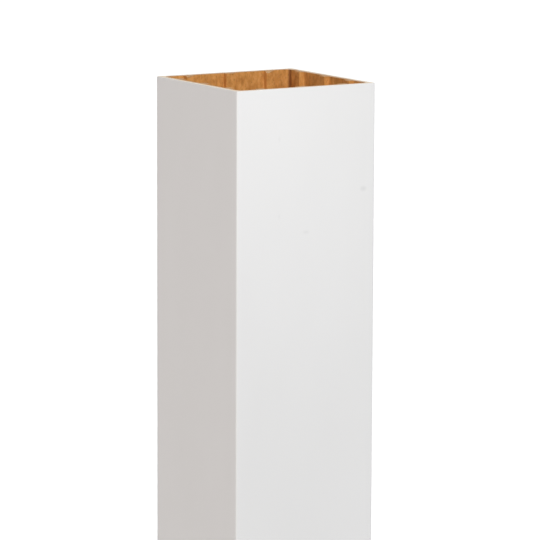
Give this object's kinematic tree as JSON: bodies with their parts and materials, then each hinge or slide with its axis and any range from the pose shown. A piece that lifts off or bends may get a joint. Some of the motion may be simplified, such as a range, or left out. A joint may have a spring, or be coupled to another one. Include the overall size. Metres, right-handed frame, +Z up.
{
  "type": "railing post sleeve",
  "caption": "Square hollow sleeve that slides over a timber railing post: smooth white outside, tan composite inside with lengthwise ribs, open at both ends.",
  "frame": {"origin": "middle of the lower end, which the sleeve stands on", "axes": "+Z up along the sleeve; +X and +Y square to its outer faces"},
  "size_m": [0.113, 0.113, 0.991],
  "materials": {
    "white_skin": "smooth satin",
    "wood_fibre_core": "dull extruded wood-fibre composite, paler where sawn"
  },
  "bodies": {
    "root": {"post_sleeve": "white_skin"}
  },
  "joints": []
}
